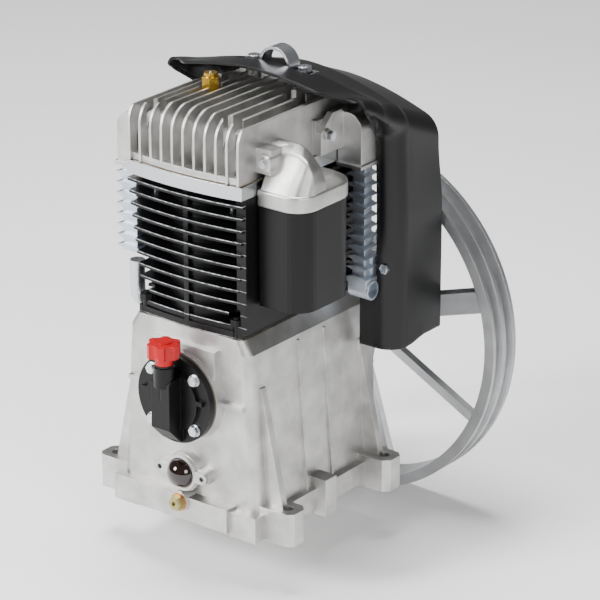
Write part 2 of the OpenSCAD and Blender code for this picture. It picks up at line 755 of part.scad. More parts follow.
module filter_outline(grow) {
    x0 = filter_x;
    x1 = filter_x + filter_w;
    hull() {
        translate([x0 - grow + 1, filter_y0 - grow + 1]) circle(r = 1, $fn = 16);
        translate([x0 - grow + 1, filter_y1 + grow - 1]) circle(r = 1, $fn = 16);
        translate([x1 - filter_r, filter_y0 + filter_r]) circle(r = filter_r + grow, $fn = 32);
        translate([x1 - filter_r, filter_y1 - filter_r]) circle(r = filter_r + grow, $fn = 32);
    }
}

module filter_housing() color(BLACK) difference() {
    translate([0, 0, filter_z0]) linear_extrude(filter_z1 - filter_z0) filter_outline(0);
    translate([0, 0, filter_z0 + 4]) linear_extrude(filter_z1 - filter_z0) filter_outline(-3);
    // air slots in the floor
    for (k = [0:4]) block([filter_x + 12, filter_y0 + 18 + k * 13, filter_z0 - 1],
        [filter_x + 42, filter_y0 + 24 + k * 13, filter_z0 + 5]);
}

module filter_element() color([0.85, 0.80, 0.62])
    translate([filter_x + 28, (filter_y0 + filter_y1) / 2, filter_z0 + 4]) difference() {
        cylinder(r = 23.5, h = filter_z1 - filter_z0 - 4);
        translate([0, 0, -1]) cylinder(r = 12, h = filter_z1 - filter_z0 + 2);
        for (a = [0:20:340]) rotate(a) translate([22, -1, 3])
            cube([4, 2, filter_z1 - filter_z0 - 10]);
    }

// hood of the cap: a steep front, a roof that rises backwards and a sloping right side
module cap_hood(in) {
    x0 = filter_x + in;
    x1 = filter_x + filter_w - in;
    z0 = filter_z1 + cap_band - 1 - in;
    hull() {
        translate([x0, filter_y0 + in + 3, z0]) cube([filter_w - 22, 2, 1]);
        translate([x1 - 24, filter_y0 + 24, z0]) cylinder(r = 24, h = 1, $fn = 32);
        translate([x0, -18 - in, z0]) cube([filter_w - 2 * in - 2, 1, 1]);
        translate([x0 + 6, filter_y0 + 6 + in, cap_top - 9 - in]) cube([30 - 2 * in, 1, 1]);
        translate([x0 + 6, -54 - in, cap_top - 1 - in]) cube([29 - 2 * in, 1, 1]);
        translate([x0 + 6, -34 - in, cap_top - 8 - in]) cube([26 - 2 * in, 1, 1]);
    }
}

module filter_cap() color(CAST) difference() {
    union() {
        translate([0, 0, filter_z1]) linear_extrude(cap_band) filter_outline(1.5);
        cap_hood(0);
    }
    hull() {
        translate([0, 0, filter_z1 - 1]) linear_extrude(1) filter_outline(-2);
        translate([0, 0, filter_z1 + cap_band - 5]) linear_extrude(1) filter_outline(-3);
    }
    cap_hood(3);
    // notch for the lug of the head and its fixing screw
    block([filter_x - 3, -79, head_z + 7], [filter_x + 16, -59, head_z + 35]);
    block([filter_x - 3, -90, head_z + 7], [filter_x + 15, -82, head_z + 35]);
    x_bar(12, filter_x - 3, filter_x + 12, -44, head_z + 18);
    y_bar(3, -86, -76, side_x + 8, head_z + 21);
    // recessed square on the band
    block([filter_x + filter_w + 0.8, -34, filter_z1 + 3],
        [filter_x + filter_w + 3, -24, filter_z1 + 13]);
}

module filter_cap_screw() color(ZINC) translate([side_x + 8, -82, head_z + 21])
    hex_screw_front(9, 4.5, 5, 18);

// --- headers and coolers ------------------------------------------------------------

// stack of square fins round an upright passage
module fin_column(x0, x1, y0, y1, z0, z1, n) {
    step = (z1 - z0) / n;
    along_y(y0, y1) for (k = [0:n - 1]) translate([0, z0 + k * step + 2.6])
        polygon([[x0, 0.2], [x0, -0.2], [x0 + 8, -2.6], [x1 - 8, -2.6], [x1, -0.2], [x1, 0.2],
            [x1 - 8, 2.6], [x0 + 8, 2.6]]);
    block([x0 + 5, y0 + 4, z0], [x1 - 5, y1 - 4, z1]);
}

module aftercooler() color([0.66, 0.71, 0.77]) difference() {
    union() {
        fin_column(cooler_x0, cooler_x1, cooler_y0, cooler_y1, cooler_z0, cooler_z1,
            cooler_fins);
        // delivery boss at the foot, open to the right
        block([cooler_x0, cooler_y0, cooler_z0 - 3], [cooler_x1, cooler_y1, cooler_z0 + 2]);
        block([cooler_x0 + 2, cooler_mid_y - 10.4, outlet_z], [cooler_x1, cooler_mid_y + 10.4,
            cooler_z0 - 2]);
        x_bar(10.4, cooler_x0 + 2, cooler_x1 + 2, cooler_mid_y, outlet_z);
        // arm that the cowl is bolted to
        block([cooler_x0 + 5, cooler_y1 - 5, cooler_z0 + 2], [cooler_x1 - 3, cowl_face + 9,
            cooler_z0 + 24]);
        block([cooler_x0 + 5, cowl_face + cowl_wall, cooler_z0 + 2],
            [cowl_w / 2 - 5, cowl_face + 9, cooler_z0 + 24]);
    }
    translate([cooler_mid_x, cooler_mid_y, outlet_z])
        cylinder(r = 5, h = cooler_z1 - outlet_z + 1);
    x_bar(8.3, cooler_x1 - 10, cooler_x1 + 3, cooler_mid_y, outlet_z);
    x_bar(5, cooler_mid_x, cooler_x1, cooler_mid_y, outlet_z);
    y_bar(3, cowl_face, cowl_face + 10, cowl_bolt_x, cowl_bolt_z);
}

module intercooler_rear() color([0.66, 0.71, 0.77]) difference() {
    mirror([1, 0, 0]) union() {
        fin_column(cooler_x0, cooler_x1, cooler_y0, cooler_y1, cooler_z0, cooler_z1,
            cooler_fins);
        block([cooler_x0, cooler_y0, cooler_z0 - 3], [cooler_x1, cooler_y1, cooler_z0 + 2]);
        block([cooler_x0 + 5, cooler_y1 - 5, cooler_z0 + 2], [cooler_x1 - 3, cowl_face + 9,
            cooler_z0 + 24]);
        block([cooler_x0 + 5, cowl_face + cowl_wall, cooler_z0 + 2],
            [cowl_w / 2 - 5, cowl_face + 9, cooler_z0 + 24]);
    }
    translate([-cooler_mid_x, cooler_mid_y, cooler_z0 - 4])
        cylinder(r = 5, h = cooler_z1 - cooler_z0 + 5);
    y_bar(3, cowl_face, cowl_face + 10, -cowl_bolt_x, cowl_bolt_z);
}

module intercooler_front() color([0.66, 0.71, 0.77]) difference() {
    union() {
        fin_column(-cooler_x1, -cooler_x0 + 4, inter_y0, inter_y1, cooler_z0 + 34,
            cooler_z1, cooler_fins - 3);
        block([-cooler_x1 + 5, inter_y0 + 3, cooler_z0 + 31], [-cooler_x0, inter_y1 - 3,
            cooler_z0 + 36]);
    }
    translate([-cooler_mid_x, inter_mid_y, cooler_z0 + 10])
        cylinder(r = 5, h = cooler_z1 - cooler_z0);
}

// quarter bend in the plane of Y and Z, from angle a to a + 90
module pipe_bend(x, y, z, r, a) {
    translate([x, y, z]) rotate([90, 0, 90]) rotate(a) rotate_extrude(angle = 90)
        translate([r, 0]) circle(r = 8);
}

// pipe that joins the feet of the two left columns
module crossover_pipe() color(ZINC) {
    r = 14;
    z = cooler_z0 - 3 - r;
    translate([-cooler_mid_x, inter_mid_y, z]) cylinder(r = 8, h = cooler_z0 + 17 - z);
    pipe_bend(-cooler_mid_x, inter_mid_y + r, z, r, 180);
    y_bar(8, inter_mid_y + r, cooler_mid_y - r, -cooler_mid_x, z - r);
    pipe_bend(-cooler_mid_x, cooler_mid_y - r, z, r, 270);
    translate([-cooler_mid_x, cooler_mid_y, z]) cylinder(r = 8, h = cooler_z0 - 3 - z);
}

// casting between the head and the right column
module right_header() color(CAST) difference() {
    union() {
        // flange against the head, its upper front corner cut off
        along_x(side_x, side_x + 7) polygon([[14, head_z + 2], [60, head_z + 2],
            [60, header_top + 4], [34, header_top + 4], [14, header_top - 14]]);
        // box with a round upper outer corner
        along_y(cooler_y0 - 5, 88) header_outline(cooler_x1);
        block([side_x, cooler_y0 - 8, cooler_z1], [cooler_x1 - 1, cooler_y1 + 2,
            cooler_z1 + 4]);
        x_bar(6.5, side_x + 6, side_x + 11, 23, head_z + 23);
    }
    x_bar(10, side_x - 1, cooler_x1 - 9, 66, head_z + 18);
    translate([cooler_mid_x, cooler_mid_y, cooler_z1 - 1]) cylinder(r = 8, h = 30);
    x_bar(3.3, side_x - 1, side_x + 12, 23, head_z + 23);
}

module square_to(x0, z0, x1, z1) {
    translate([x0, z0]) square([x1 - x0, z1 - z0]);
}

// outline of a header in X and Z, its upper outer corner rounded
module header_outline(x) {
    r = 17;
    square_to(side_x, cooler_z1, x - 3, header_top - r);
    square_to(side_x, header_top - r - 1, x - 3 - r, header_top);
    intersection() {
        translate([x - 3 - r, header_top - r]) circle(r = r);
        square_to(side_x, cooler_z1, x, header_top);
    }
}

module left_header() color(CAST) mirror([1, 0, 0]) difference() {
    union() {
        along_y(inter_y0, inter_y1 + 8) header_outline(cooler_x1);
        along_y(34, 88) header_outline(cooler_x1);
        block([side_x, inter_y0, head_z + 2], [side_x + 7, 88, head_z + 38]);
        block([side_x, inter_y0 - 2, cooler_z1], [cooler_x1 - 1, inter_y1 + 8,
            cooler_z1 + 4]);
    }
    for (y = [66, -66]) x_bar(10, side_x - 1, cooler_x1 - 9, y, head_z + 18);
    for (y = [cooler_mid_y, inter_mid_y])
        translate([cooler_mid_x, y, cooler_z1 - 1]) cylinder(r = 8, h = 30);
    for (y = left_bolts) x_bar(3.3, side_x - 1, side_x + 8, y, head_z + 20);
}

module header_bolts() color(ZINC) {
    translate([side_x + 11, 23, head_z + 23]) rotate([0, 90, 0]) hex_screw(10, 5, 6, 17);
    for (y = left_bolts) translate([-side_x - 7, y, head_z + 20]) rotate([0, -90, 0])
        hex_screw(10, 5, 6, 13);
}

// --- cowl and lifting strap ---------------------------------------------------------

// one cross-section of the cowl: a flat crowned roof with round shoulders
module cowl_section(w, y, z0, z_mid, z_side, r) {
    for (sx = [-1, 1]) {
        translate([sx * (w / 2 - r), y, z_side - r]) rotate([-90, 0, 0])
            cylinder(r = r, h = 0.2, $fn = 32);
        translate([sx * (w / 2 - 0.5), y, z0]) cube([1, 0.4, 1], center = true);
        translate([sx * w / 4, y, (z_mid * 2 + z_side) / 3 - 1]) cube([1, 0.4, 2],
            center = true);
    }
    translate([0, y, z_mid - 1]) cube([w / 6, 0.4, 2], center = true);
}

// height of the middle of the roof, forward of the cowl's face
function roof_z(y) = cowl_top - roof_drop * (y - 3) / (cowl_face - 3);

module cowl_form(in) {
    z0 = cowl_z0 + 8;
    hull() {
        cowl_section(cowl_w - 4 - 2 * in, 3 - in, head_z + 10, cowl_top - in,
            cowl_top - 14 - in, 16);
        cowl_section(cowl_w - 2 * in, cowl_face + in, z0, cowl_top - roof_drop - in,
            cowl_top - 36 - in, 20);
        cowl_section(cowl_w - 2 * in, 105, z0, cowl_top - 20 - in, cowl_top - 46 - in, 22);
        cowl_section(cowl_w - 2 * in, cowl_back + in, z0, cowl_top - 41 - in,
            cowl_top - 66 - in, 24);
        translate([0, (cowl_face + cowl_back) / 2, z0 + 1])
            cube([cowl_w - 2 * in - 2, cowl_back - cowl_face - 2, 1], center = true);
    }
}

module cowl() color(BLACK) difference() {
    cowl_form(0);
    // inside, open towards the flywheel, forwards over the head and downwards
    difference() {
        cowl_form(cowl_wall);
        // tray under the feet of the strap
        block([-50, strap_y - 14, strap_z - cowl_wall], [50, strap_y + 14, cowl_top]);
        block([-cowl_w, cowl_face - 1, cowl_z0 - 10], [-88, cowl_face + cowl_wall,
            cooler_z0 - 8]);
        block([88, cowl_face - 1, cowl_z0 - 10], [cowl_w, cowl_face + cowl_wall,
            cooler_z0 - 8]);
        for (sx = [0, 1]) mirror([sx, 0, 0]) block([cooler_x1 + 1, cowl_face - 1,
            cooler_z0 - 9], [cowl_w, cowl_face + cowl_wall, head_top - 30]);
    }
    block([-cowl_w / 2 + cowl_wall, cowl_back - 5, cowl_z0 + 2],
        [cowl_w / 2 - cowl_wall, cowl_back + 5, cowl_top - 72]);
    // the front edge of each side runs back and down from the lip
    along_x(-cowl_w / 2 - 1, cowl_w / 2 + 1) polygon([[-60, 0], [cowl_face, 0],
        [cowl_face, head_z + 17], [cowl_face - 20, head_z + 17], [3, head_top - 14],
        [-60, head_top - 14]]);
    block([-87, cowl_face - 1, 0], [87, cowl_back - 3, cowl_z0 + 20]);
    block([-47, strap_y - 11, strap_z], [47, strap_y + 11, cowl_top + 1]);
    for (sx = [-1, 1]) translate([sx * strap_x, strap_y, head_top - 10])
        cylinder(r = 4.3, h = 50);
    for (sx = [-1, 1]) y_bar(3.3, cowl_face - 1, cowl_face + 5, sx * cowl_bolt_x,
        cowl_bolt_z);
}

module cowl_bolts() color(ZINC)
    for (sx = [-1, 1]) translate([sx * cowl_bolt_x, cowl_face, cowl_bolt_z])
        hex_screw_front(10, 4, 6, 11);

// bent steel band with two feet and a round arch
module lifting_strap() color(STEEL) difference() {
    along_y(strap_y - 9, strap_y + 9) {
        difference() {
            translate([0, strap_z + 5]) circle(r = 20);
            translate([0, strap_z + 5]) circle(r = 17);
            translate([-40, strap_z - 40]) square([80, 40]);
        }
        for (sx = [-1, 1]) translate([sx * 31 - 13.5, strap_z]) square([27, 3]);
    }
    for (sx = [-1, 1]) translate([sx * strap_x, strap_y, strap_z - 1])
        cylinder(r = 4.3, h = 10);
}

module strap_bolts() color(ZINC)
    for (sx = [-1, 1]) translate([sx * strap_x, strap_y, strap_z + 3])
        hex_screw(13, 5.5, 7.8, 26);

// --- crankshaft and flywheel --------------------------------------------------------

// crank web: arm towards the pin at side s and a counterweight on the other side
module web(y0, y1, s) {
    y_bar(26, y0, y1, 0, axis_z + s * throw_r);
    y_bar(28, y0, y1);
    intersection() {
        y_bar(web_r - 2, y0, y1);
        block([-46, y0, s > 0 ? axis_z - web_r : axis_z - 4],
            [46, y1, s > 0 ? axis_z + 4 : axis_z + web_r]);
    }
}

module crankshaft() color(STEEL) difference() {
    union() {
        web(low_pin_y0 - face_gap - web_t, low_pin_y0 - face_gap, 1);
        web(low_pin_y1 + face_gap, low_pin_y1 + face_gap + web_t, 1);
        web(high_pin_y0 - face_gap - web_t, high_pin_y0 - face_gap, -1);
        web(high_pin_y1 + face_gap, high_pin_y1 + face_gap + web_t, -1);
        y_bar(20, low_pin_y1 + face_gap, high_pin_y0 - face_gap);
        y_bar(21, front_brg_y + front_brg_w, low_pin_y0 - face_gap - 1);
        y_bar(front_journal_r, front_brg_y - 3, low_pin_y0 - face_gap - 1);
        y_bar(24, high_pin_y1 + face_gap + 1, rear_brg_y);
        y_bar(rear_journal_r, high_pin_y1 + face_gap + 1, carrier_y + 16);
        y_bar(nose_r, carrier_y + 15, nose_end);
    }
    // key seat and thread for the flywheel bolt
    block([-5, wheel_front - 12, axis_z + nose_r - 5], [5, nose_end - 8, axis_z + nose_r + 1]);
    y_bar(5, nose_end - 30, nose_end + 1);
}

// flywheel with two belt grooves and flat blades for spokes that move the cooling air
module flywheel() color([0.60, 0.61, 0.62]) difference() {
    union() {
        y_ring(wheel_d / 2, rim_in, wheel_front, wheel_front + wheel_w);
        y_bar(hub_r, wheel_front - 14, wheel_front + wheel_w);
        for (k = [0:spokes - 1]) rotate_about_crank(-first_blade - k * 360 / spokes)
            translate([(hub_r + rim_in) / 2, wheel_front + wheel_w / 2, axis_z])
                rotate([-50, 0, 0])
                    cube([rim_in - hub_r + 8, blade_w, 6], center = true);
    }
    y_bar(nose_r, wheel_front - 15, wheel_front + wheel_w + 1);
    block([-5, wheel_front - 15, axis_z + nose_r - 3],
        [5, wheel_front + wheel_w + 1, axis_z + nose_r + 3.3]);
    // bolt and washer recess
    y_bar(24, nose_end + 0.5, wheel_front + wheel_w + 1);
    for (g = [-1, 1]) belt_groove(wheel_front + wheel_w / 2 + g * 9.5);
}

// V groove with a 38 degree angle for a 17 mm wide belt
module belt_groove(y) {
    depth = 9;
    translate([0, y, axis_z]) rotate([-90, 0, 0]) rotate_extrude($fn = 96)
        polygon([[wheel_d / 2 - depth, -3.4], [wheel_d / 2 + 1, -7.1],
            [wheel_d / 2 + 1, 7.1], [wheel_d / 2 - depth, 3.4]]);
}

module flywheel_key() color(STEEL)
    block([-5, wheel_front - 12, axis_z + nose_r - 5], [5, nose_end - 8, axis_z + nose_r + 3]);

module flywheel_washer() color(ZINC)
    y_ring(20, 5.3, nose_end + 0.5, nose_end + 4.5);

module flywheel_bolt() color(ZINC) translate([0, nose_end + 4.5, axis_z]) rotate([-90, 0, 0])
    hex_screw(17, 7, 9.8, 30);

// --- pistons and rods ---------------------------------------------------------------

module piston(y, bore, z, skirt, wall, wp_r) {
    r = bore / 2 - piston_gap;
    difference() {
        translate([0, y, z - skirt]) cylinder(r = r, h = skirt + crown_h);
        translate([0, y, z - skirt - 1]) cylinder(r = r - wall, h = skirt + crown_h - 8);
        y_bar(wp_r, y - bore, y + bore, 0, z);
        for (k = [0:2]) translate([0, y, z + crown_h - 7 - k * 6]) ring_shape(r + 1, r - 3, 2.5);
    }
    // bosses of the wrist pin
    difference() {
        intersection() {
            for (s = [-1, 1]) y_bar(wp_r + 5, s > 0 ? y + 12 : y - bore / 2, s > 0 ?
                y + bore / 2 : y - 12, 0, z);
            translate([0, y, z - skirt]) cylinder(r = r - wall + 0.5, h = skirt + crown_h);
        }
        y_bar(wp_r, y - bore, y + bore, 0, z);
    }
}

module ring_shape(ro, ri, h) {
    difference() {
        cylinder(r = ro, h = h);
        translate([0, 0, -1]) cylinder(r = ri, h = h + 2);
    }
}

// split piston rings lying in their grooves
module piston_rings(y, bore, z) {
    for (k = [0:2]) translate([0, y, z + crown_h - 7 - k * 6 + 0.05]) difference() {
        ring_shape(bore / 2 - 0.02, bore / 2 - 2.8, 2.4);
        rotate(120 * k) translate([bore / 2 - 4, -0.4, -1]) cube([6, 0.8, 5]);
    }
}

module low_piston() color(CAST) piston(low_y, low_bore, tdc_z, 28, 6, low_wp_r);
module high_piston() color(CAST) piston(high_y, high_bore, bdc_z, 22, 5, high_wp_r);
module low_rings() color(IRON) piston_rings(low_y, low_bore, tdc_z);
module high_rings() color(IRON) piston_rings(high_y, high_bore, bdc_z);
module low_wrist_pin() color(STEEL)
    y_ring(low_wp_r, 5, low_y - low_bore / 2 + 6, low_y + low_bore / 2 - 6, 0, tdc_z);
module high_wrist_pin() color(STEEL)
    y_ring(high_wp_r, 4, high_y - high_bore / 2 + 5, high_y + high_bore / 2 - 5, 0, bdc_z);

// connecting rod with its split big end, cap bolts and dipper
module rod(y, z, w, eye_r, wp_r, shank) {
    difference() {
        union() {
            y_bar(eye_r, y - w / 2 + 1, y + w / 2 - 1, 0, z);
            y_bar(pin_r + 7, y - w / 2, y + w / 2, 0, z - rod_len);
            block([-shank, y - w / 4, z - rod_len + 10], [shank, y + w / 4, z - eye_r + 4]);
            block([-pin_r - 9, y - w / 2 + 2, z - rod_len - 8],
                [pin_r + 9, y + w / 2 - 2, z - rod_len + 8]);
            y_bar(2.5, y - 3, y + 3, 0, z - rod_len - pin_r - 6);
        }
        y_bar(wp_r + run_gap, y - w, y + w, 0, z);
        y_bar(pin_r, y - w, y + w, 0, z - rod_len);
    }
    for (sx = [-1, 1]) translate([sx * (pin_r + 5), y, z - rod_len + 7.9])
        cylinder(r = 3.4, h = 5, $fn = 6);
}

module low_rod() color(CAST) rod(low_y, tdc_z, low_pin_w - 1, 16, low_wp_r, 8);
module high_rod() color(CAST) rod(high_y, bdc_z, high_pin_w - 1, 13, high_wp_r, 7);
module low_crankpin() color(STEEL) y_bar(pin_r, low_pin_y0, low_pin_y1, 0, tdc_z - rod_len);
module high_crankpin() color(STEEL) y_bar(pin_r, high_pin_y0, high_pin_y1, 0, bdc_z - rod_len);

// --- every piece --------------------------------------------------------------------
crankcase();
front_bearing();
rear_bearing();
rear_carrier();
rear_carrier_gasket();
rear_carrier_bolts();
rear_shaft_seal();
front_cover();
front_cover_gasket();
front_cover_bolts();
sight_glass();
sight_glass_flange();
drain_plug();
drain_washer();
block_gasket();
cylinder_block();
block_nuts();
plate_gasket();
valve_plate();
valve_reeds();
head_gasket();
cylinder_head();
head_bolts();
safety_valve();
safety_stem();
safety_spring();
filter_housing();
filter_element();
filter_cap();
filter_cap_screw();
right_header();
left_header();
header_bolts();
aftercooler();
intercooler_front();
intercooler_rear();
crossover_pipe();
cowl();
cowl_bolts();
lifting_strap();
strap_bolts();
crankshaft();
front_inner_race();
rear_inner_race();
flywheel();
flywheel_key();
flywheel_washer();
flywheel_bolt();
low_piston();
low_rings();
low_wrist_pin();
low_rod();
low_crankpin();
high_piston();
high_rings();
high_wrist_pin();
high_rod();
high_crankpin();
oil_filler_seal();
oil_filler();
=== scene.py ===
# %% [markdown]
# A belt-driven piston compressor pump, dressed for a render. The CAD model gives every
# solid its place and its joints. This script loads that model as a fixed frame, gives
# each solid the finish of the real material, and swaps a few castings and mouldings
# for smoother surfaces worked out with numpy.

# %% Load the frame
import json
import math

import bpy
import numpy as np
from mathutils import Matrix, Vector


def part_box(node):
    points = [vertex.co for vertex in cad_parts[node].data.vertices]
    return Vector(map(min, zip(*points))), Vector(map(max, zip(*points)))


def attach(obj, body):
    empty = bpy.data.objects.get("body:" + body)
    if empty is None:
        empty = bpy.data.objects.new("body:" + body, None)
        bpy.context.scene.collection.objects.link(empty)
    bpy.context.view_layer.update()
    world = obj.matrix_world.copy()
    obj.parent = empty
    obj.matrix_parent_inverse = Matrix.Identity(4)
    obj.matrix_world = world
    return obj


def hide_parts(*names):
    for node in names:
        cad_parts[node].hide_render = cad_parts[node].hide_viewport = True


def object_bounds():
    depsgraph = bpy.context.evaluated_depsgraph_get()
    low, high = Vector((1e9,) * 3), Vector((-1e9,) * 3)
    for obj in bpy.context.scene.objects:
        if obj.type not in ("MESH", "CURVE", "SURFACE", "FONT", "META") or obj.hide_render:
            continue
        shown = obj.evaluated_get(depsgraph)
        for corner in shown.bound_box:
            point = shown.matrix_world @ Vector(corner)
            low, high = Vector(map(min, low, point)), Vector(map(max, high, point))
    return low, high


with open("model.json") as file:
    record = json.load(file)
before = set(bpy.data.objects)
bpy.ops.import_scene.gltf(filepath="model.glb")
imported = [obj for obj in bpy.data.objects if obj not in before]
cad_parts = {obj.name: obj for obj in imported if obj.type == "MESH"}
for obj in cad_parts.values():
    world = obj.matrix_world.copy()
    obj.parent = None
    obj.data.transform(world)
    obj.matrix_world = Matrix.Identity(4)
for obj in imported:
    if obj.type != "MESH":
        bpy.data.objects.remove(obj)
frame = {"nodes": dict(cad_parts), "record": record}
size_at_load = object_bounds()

MM = 0.001
nodes = frame["nodes"]
print("solids loaded:", len(nodes))

# %% [markdown]
# The studio comes first: a pale floor that stands under the feet, the camera, and large
# soft lights. The flywheel hangs below the foot plane, because the real pump stands on
# a baseplate with the wheel over its edge. So the floor lies under the wheel, not the feet.

# %% Camera and floor
VIEW_AZIMUTH = math.radians(37.48)
VIEW_ELEVATION = math.radians(21.79)
VIEW_DISTANCE = 3.378
VIEW_LENS_MM = 192.8
TARGET_SIDE = 0.05292
TARGET_HEIGHT = 0.21363
right = np.array([math.cos(VIEW_AZIMUTH), math.sin(VIEW_AZIMUTH), 0.0])
target = right * TARGET_SIDE + np.array([0.0, 0.0, TARGET_HEIGHT])
towards = np.array([math.sin(VIEW_AZIMUTH) * math.cos(VIEW_ELEVATION),
                    -math.cos(VIEW_AZIMUTH) * math.cos(VIEW_ELEVATION),
                    math.sin(VIEW_ELEVATION)])


def aim(obj, place, at):
    """Puts obj at place and turns its -Z axis to look at the point at, with +Y up."""
    obj.location = Vector(place)
    obj.rotation_euler = (Vector(at) - Vector(place)).to_track_quat("-Z", "Y").to_euler()


camera = bpy.data.objects.new("camera", bpy.data.cameras.new("camera"))
camera.data.lens = VIEW_LENS_MM
camera.data.sensor_width = 36.0
camera.data.clip_end = 20.0
bpy.context.collection.objects.link(camera)
aim(camera, target + towards * VIEW_DISTANCE, target)
bpy.context.scene.camera = camera

FLOOR_GAP = 0.0005
FLOOR_HALF = 9.0
floor_z = size_at_load[0][2] - FLOOR_GAP
sides = ((-1, -1), (1, -1), (1, 1), (-1, 1))
corners = [(x * FLOOR_HALF, y * FLOOR_HALF, floor_z) for x, y in sides]
floor_mesh = bpy.data.meshes.new("studio_floor")
floor_mesh.from_pydata(corners, [], [(0, 1, 2, 3)])
studio_floor = bpy.data.objects.new("studio_floor", floor_mesh)
bpy.context.collection.objects.link(studio_floor)
print("floor height in mm:", round(floor_z / MM, 1))

# %% Lights


def soft_light(name, place, width, power):
    """A square area light of that width in metres, aimed at the middle of the pump."""
    data = bpy.data.lights.new(name, "AREA")
    data.size = width
    data.energy = power
    lamp = bpy.data.objects.new(name, data)
    bpy.context.collection.objects.link(lamp)
    aim(lamp, place, (0.0, 0.0, 0.25))


soft_light("key_front", (-1.5, -2.5, 1.7), 1.0, 150.0)
soft_light("fill_right", (2.8, -1.4, 1.3), 1.2, 55.0)
soft_light("top", (-0.2, 0.1, 2.6), 1.2, 95.0)
world = bpy.data.worlds.new("studio")
world.use_nodes = True
sky = world.node_tree.nodes["Background"].inputs
sky["Color"].default_value = (1.0, 1.0, 1.0, 1.0)
sky["Strength"].default_value = 0.20
bpy.context.scene.world = world

# %% [markdown]
# A material here is a small network that ends in the Principled shader. Two helpers do
# the repeated work: one turns a colour from the web's sRGB hex form into the linear
# numbers that the renderer adds up, and one adds a node and joins its sockets.

# %% Material helpers


def linear(hex_colour):
    """sRGB to linear: c/12.92 in the dark, else ((c + 0.055) / 1.055) to the power 2.4."""
    c = np.array([int(hex_colour[i:i + 2], 16) for i in (1, 3, 5)]) / 255.0
    out = np.where(c <= 0.04045, c / 12.92, ((c + 0.055) / 1.055) ** 2.4)
    return (float(out[0]), float(out[1]), float(out[2]), 1.0)


def add(tree, kind, sockets=None, **settings):
    """Adds a node. sockets maps an input's name or number to a value or to a socket.

    On a Map Range node, inputs 1 to 4 turn the range from 1..2 into 3..4. On a colour Mix
    node, input 0 is the amount of the second colour, and 6 and 7 are the two colours.
    """
    made = tree.nodes.new(kind)
    for key, value in settings.items():
        setattr(made, key, value)
    for key, value in (sockets or {}).items():
        if isinstance(value, bpy.types.NodeSocket):
            tree.links.new(value, made.inputs[key])
        else:
            made.inputs[key].default_value = value
    return made


def start(name):
    """A new material with an empty network: (material, tree, place in mm on the object)."""
    made = bpy.data.materials.new(name)
    made.use_nodes = True
    tree = made.node_tree
    tree.nodes.clear()
    coords = add(tree, "ShaderNodeTexCoord")
    in_mm = add(tree, "ShaderNodeVectorMath", {0: coords.outputs["Object"],
                                               1: (1000.0, 1000.0, 1000.0)},
                operation="MULTIPLY")
    return made, tree, in_mm.outputs[0]


def grit(tree, place, size_mm, detail=2.0):
    """A noise whose blobs are about size_mm across."""
    return add(tree, "ShaderNodeTexNoise", {"Vector": place, "Scale": 1.0 / size_mm,
                                            "Detail": detail}).outputs[0]


def relief(tree, height, depth_mm, edge_mm=0.0):
    """A bump of depth_mm, over edges that are rounded to edge_mm."""
    settings = {"Height": height, "Distance": depth_mm * MM, "Strength": 1.0}
    if edge_mm:
        settings["Normal"] = add(tree, "ShaderNodeBevel", {"Radius": edge_mm * MM},
                                 samples=6).outputs[0]
    return add(tree, "ShaderNodeBump", settings).outputs[0]


def close(made, tree, **sockets):
    """Ends the network in a Principled shader whose sockets are given by name."""
    named = {key.replace("_", " "): value for key, value in sockets.items()}
    shader = add(tree, "ShaderNodeBsdfPrincipled", named)
    add(tree, "ShaderNodeOutputMaterial", {"Surface": shader.outputs[0]})
    print("finish:", made.name)
    return made


floor_paint, tree, place = start("pale_studio_floor")
studio_floor.data.materials.append(close(floor_paint, tree, Base_Color=linear("#FAFAFA"),
                                         Roughness=0.9, Emission_Color=linear("#FFFFFF"),
                                         Emission_Strength=0.12))

# %% [markdown]
# Sand-cast aluminium, blasted with grit after casting, is pale and almost white, because
# each of the small pits throws light in its own direction. So it is a rough metal with a
# bump of about half a millimetre, and a little unevenness in its grey.

# %% Cast and die-cast aluminium
CLOUD_MM = 28.0


def casting(name, colour, dark, roughness, grain_mm, depth_mm, metallic, edge_mm=0.9):
    """A blasted casting: grain_mm pits, depth_mm deep, and a slow change of its grey."""
    made, tree, place = start(name)
    pits = grit(tree, place, grain_mm, 3.0)
    clouds = add(tree, "ShaderNodeMapRange",
                 {0: grit(tree, place, CLOUD_MM), 1: 0.35, 2: 0.65, 3: 0.0, 4: 1.0}).outputs[0]
    grey = add(tree, "ShaderNodeMix", {0: clouds, 6: linear(colour), 7: linear(dark)},
               data_type="RGBA").outputs[2]
    gloss = add(tree, "ShaderNodeMapRange", {0: pits, 1: 0.35, 2: 0.65, 3: roughness - 0.06,
                                             4: roughness + 0.06}).outputs[0]
    return close(made, tree, Base_Color=grey, Metallic=metallic, Roughness=gloss,
                 Normal=relief(tree, pits, depth_mm, edge_mm))


cast_aluminium = casting("blasted_cast_aluminium", "#CFCECC", "#B4B3B1", 0.36, 0.8, 0.34, 1.0)
cooler_aluminium = casting("die_cast_cooler_aluminium", "#C9D0D9", "#B4BDC9", 0.36, 0.7, 0.06,
                           0.9, 0.4)
grey_iron = casting("grey_cast_iron", "#B6B7B9", "#A6A7A9", 0.38, 0.9, 0.18, 0.9)
